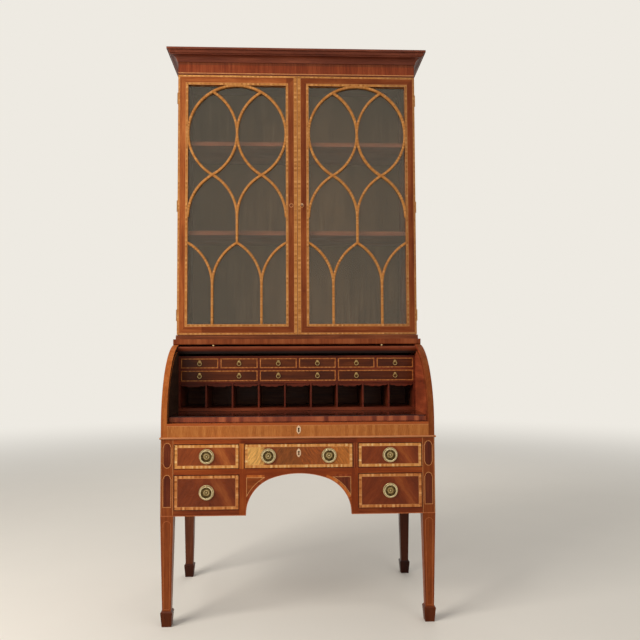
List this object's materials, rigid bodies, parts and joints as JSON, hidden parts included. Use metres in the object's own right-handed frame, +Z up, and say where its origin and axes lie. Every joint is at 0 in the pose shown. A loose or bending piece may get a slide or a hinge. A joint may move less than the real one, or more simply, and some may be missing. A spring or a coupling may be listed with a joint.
{
  "type": "tambour secretary bookcase",
  "caption": "Writing desk with a roll-down tambour over pigeonholes and a pull-out writing surface, drawers around an arched kneehole, tapered legs, and a glazed bookcase above.",
  "frame": {"origin": "on the floor under the middle of the whole cabinet", "axes": "+Z up, -Y out of the front towards the person writing, +X to the right as seen from the front"},
  "size_m": [1.14, 0.6534, 2.388],
  "materials": {
    "inlaid_mahogany_legs": "french polished, boxwood stringing",
    "mahogany_trim": "french polished",
    "cornice_mahogany": "french polished, dark",
    "mahogany_case": "french polished",
    "shelf_mahogany": "satin",
    "pine_backboards": "unpolished secondary wood",
    "golden_lock_rail": "crossbanded, french polished",
    "pigeonhole_mahogany": "polished",
    "polished_brass": "polished",
    "banded_door_mahogany": "satinwood banded, french polished",
    "satinwood_tracery": "crossbanded satinwood, polished",
    "bookcase_glass": "clear",
    "tambour_mahogany": "polished slats",
    "tambour_canvas": "glued linen canvas",
    "polished_writing_slide": "high gloss, crossbanded edge",
    "flame_mahogany_drawer": "flame veneer with satinwood banding",
    "antique_brass": "aged",
    "small_drawer_mahogany": "stringing border, polished"
  },
  "bodies": {
    "root": {"front_left_leg": "inlaid_mahogany_legs", "front_right_leg": "inlaid_mahogany_legs", "rear_left_leg": "inlaid_mahogany_legs", "rear_right_leg": "inlaid_mahogany_legs", "desk_front_frame": "mahogany_trim", "kneehole_apron": "mahogany_trim", "case_panels": "mahogany_case", "drawer_boards_and_guides": "pine_backboards", "bead_moulding": "mahogany_trim", "cylinder_ends": "mahogany_case", "cylinder_deck_and_back": "pine_backboards", "lock_rail": "golden_lock_rail", "pigeonhole_case": "pigeonhole_mahogany", "waist_board": "mahogany_trim", "bookcase_plinth": "mahogany_trim", "bookcase_carcass": "mahogany_case", "bookcase_shelves": "shelf_mahogany", "bookcase_back_boards": "pine_backboards", "cornice_and_frieze": "cornice_mahogany", "hinge_fixed_leaves": "polished_brass"},
    "left_door": {"left_door_frame": "banded_door_mahogany", "left_door_tracery": "satinwood_tracery", "left_door_glass": "bookcase_glass", "left_door_hinge_leaves": "polished_brass"},
    "right_door": {"right_door_frame": "banded_door_mahogany", "right_door_tracery": "satinwood_tracery", "right_door_glass": "bookcase_glass", "right_door_hinge_leaves": "polished_brass", "right_door_lock": "polished_brass"},
    "key": {"door_key": "polished_brass"},
    "tambour": {"tambour_lead_rail": "tambour_mahogany", "tambour_slats": "tambour_mahogany", "tambour_canvas": "tambour_canvas", "tambour_knobs": "polished_brass"},
    "slide": {"writing_slide": "polished_writing_slide"},
    "centre_drawer_body": {"centre_drawer": "flame_mahogany_drawer", "centre_drawer_pull_plate": "antique_brass"},
    "upper_left_drawer_body": {"upper_left_drawer": "flame_mahogany_drawer", "upper_left_drawer_pull_plate": "antique_brass"},
    "upper_right_drawer_body": {"upper_right_drawer": "flame_mahogany_drawer", "upper_right_drawer_pull_plate": "antique_brass"},
    "lower_left_drawer_body": {"lower_left_drawer": "flame_mahogany_drawer", "lower_left_drawer_pull_plate": "antique_brass"},
    "lower_right_drawer_body": {"lower_right_drawer": "flame_mahogany_drawer", "lower_right_drawer_pull_plate": "antique_brass"},
    "centre_ring_1_body": {"centre_drawer_pull_ring_1": "antique_brass"},
    "centre_ring_2_body": {"centre_drawer_pull_ring_2": "antique_brass"},
    "upper_left_ring_body": {"upper_left_drawer_pull_ring": "antique_brass"},
    "upper_right_ring_body": {"upper_right_drawer_pull_ring": "antique_brass"},
    "lower_left_ring_body": {"lower_left_drawer_pull_ring": "antique_brass"},
    "lower_right_ring_body": {"lower_right_drawer_pull_ring": "antique_brass"},
    "upper_small_drawer_1_body": {"upper_small_drawer_1": "small_drawer_mahogany"},
    "upper_small_drawer_2_body": {"upper_small_drawer_2": "small_drawer_mahogany"},
    "upper_small_drawer_3_body": {"upper_small_drawer_3": "small_drawer_mahogany"},
    "upper_small_drawer_4_body": {"upper_small_drawer_4": "small_drawer_mahogany"},
    "upper_small_drawer_5_body": {"upper_small_drawer_5": "small_drawer_mahogany"},
    "upper_small_drawer_6_body": {"upper_small_drawer_6": "small_drawer_mahogany"},
    "lower_small_drawer_1_body": {"lower_small_drawer_1": "small_drawer_mahogany"},
    "lower_small_drawer_2_body": {"lower_small_drawer_2": "small_drawer_mahogany"},
    "lower_small_drawer_3_body": {"lower_small_drawer_3": "small_drawer_mahogany"}
  },
  "joints": [
    {"name": "left_door_hinge", "type": "hinge", "parent": "root", "child": "left_door", "pos_m": [-0.529, 0.0062, 1.6995], "axis": [0, 0, -1], "range_deg": [0, 120]},
    {"name": "right_door_hinge", "type": "hinge", "parent": "root", "child": "right_door", "pos_m": [0.529, 0.0062, 1.6995], "axis": [0, 0, 1], "range_deg": [0, 120]},
    {"name": "key_turn", "type": "hinge", "parent": "right_door", "child": "key", "pos_m": [0.0201, -0.0133, 1.69949], "axis": [0, 1, 0], "range_deg": [0, 90]},
    {"name": "tambour_roll", "type": "hinge", "parent": "root", "child": "tambour", "pos_m": [0, -0.0013, 0.776], "axis": [-1, 0, 0], "range_deg": [-78, 0]},
    {"name": "writing_slide_pull", "type": "slide", "parent": "root", "child": "slide", "axis": [0, -1, 0], "range_m": [0, 0.24]},
    {"name": "centre_drawer_pull_out", "type": "slide", "parent": "root", "child": "centre_drawer_body", "axis": [0, -1, 0], "range_m": [0, 0.38]},
    {"name": "upper_left_drawer_pull_out", "type": "slide", "parent": "root", "child": "upper_left_drawer_body", "axis": [0, -1, 0], "range_m": [0, 0.38]},
    {"name": "upper_right_drawer_pull_out", "type": "slide", "parent": "root", "child": "upper_right_drawer_body", "axis": [0, -1, 0], "range_m": [0, 0.38]},
    {"name": "lower_left_drawer_pull_out", "type": "slide", "parent": "root", "child": "lower_left_drawer_body", "axis": [0, -1, 0], "range_m": [0, 0.38]},
    {"name": "lower_right_drawer_pull_out", "type": "slide", "parent": "root", "child": "lower_right_drawer_body", "axis": [0, -1, 0], "range_m": [0, 0.38]},
    {"name": "centre_ring_1_swing", "type": "hinge", "parent": "centre_drawer_body", "child": "centre_ring_1_body", "pos_m": [-0.1185, -0.3213, 0.6715], "axis": [-1, 0, 0], "range_deg": [0, 85]},
    {"name": "centre_ring_2_swing", "type": "hinge", "parent": "centre_drawer_body", "child": "centre_ring_2_body", "pos_m": [0.1185, -0.3213, 0.6715], "axis": [-1, 0, 0], "range_deg": [0, 85]},
    {"name": "upper_left_ring_swing", "type": "hinge", "parent": "upper_left_drawer_body", "child": "upper_left_ring_body", "pos_m": [-0.35825, -0.3213, 0.6715], "axis": [-1, 0, 0], "range_deg": [0, 85]},
    {"name": "upper_right_ring_swing", "type": "hinge", "parent": "upper_right_drawer_body", "child": "upper_right_ring_body", "pos_m": [0.35825, -0.3213, 0.6715], "axis": [-1, 0, 0], "range_deg": [0, 85]},
    {"name": "lower_left_ring_swing", "type": "hinge", "parent": "lower_left_drawer_body", "child": "lower_left_ring_body", "pos_m": [-0.35825, -0.3213, 0.53325], "axis": [-1, 0, 0], "range_deg": [0, 85]},
    {"name": "lower_right_ring_swing", "type": "hinge", "parent": "lower_right_drawer_body", "child": "lower_right_ring_body", "pos_m": [0.35825, -0.3213, 0.53325], "axis": [-1, 0, 0], "range_deg": [0, 85]},
    {"name": "upper_small_drawer_1_pull_out", "type": "slide", "parent": "root", "child": "upper_small_drawer_1_body", "axis": [0, -1, 0], "range_m": [0, 0.095]},
    {"name": "upper_small_drawer_2_pull_out", "type": "slide", "parent": "root", "child": "upper_small_drawer_2_body", "axis": [0, -1, 0], "range_m": [0, 0.095]},
    {"name": "upper_small_drawer_3_pull_out", "type": "slide", "parent": "root", "child": "upper_small_drawer_3_body", "axis": [0, -1, 0], "range_m": [0, 0.095]},
    {"name": "upper_small_drawer_4_pull_out", "type": "slide", "parent": "root", "child": "upper_small_drawer_4_body", "axis": [0, -1, 0], "range_m": [0, 0.095]},
    {"name": "upper_small_drawer_5_pull_out", "type": "slide", "parent": "root", "child": "upper_small_drawer_5_body", "axis": [0, -1, 0], "range_m": [0, 0.095]},
    {"name": "upper_small_drawer_6_pull_out", "type": "slide", "parent": "root", "child": "upper_small_drawer_6_body", "axis": [0, -1, 0], "range_m": [0, 0.095]},
    {"name": "lower_small_drawer_1_pull_out", "type": "slide", "parent": "root", "child": "lower_small_drawer_1_body", "axis": [0, -1, 0], "range_m": [0, 0.095]},
    {"name": "lower_small_drawer_2_pull_out", "type": "slide", "parent": "root", "child": "lower_small_drawer_2_body", "axis": [0, -1, 0], "range_m": [0, 0.095]},
    {"name": "lower_small_drawer_3_pull_out", "type": "slide", "parent": "root", "child": "lower_small_drawer_3_body", "axis": [0, -1, 0], "range_m": [0, 0.095]}
  ]
}
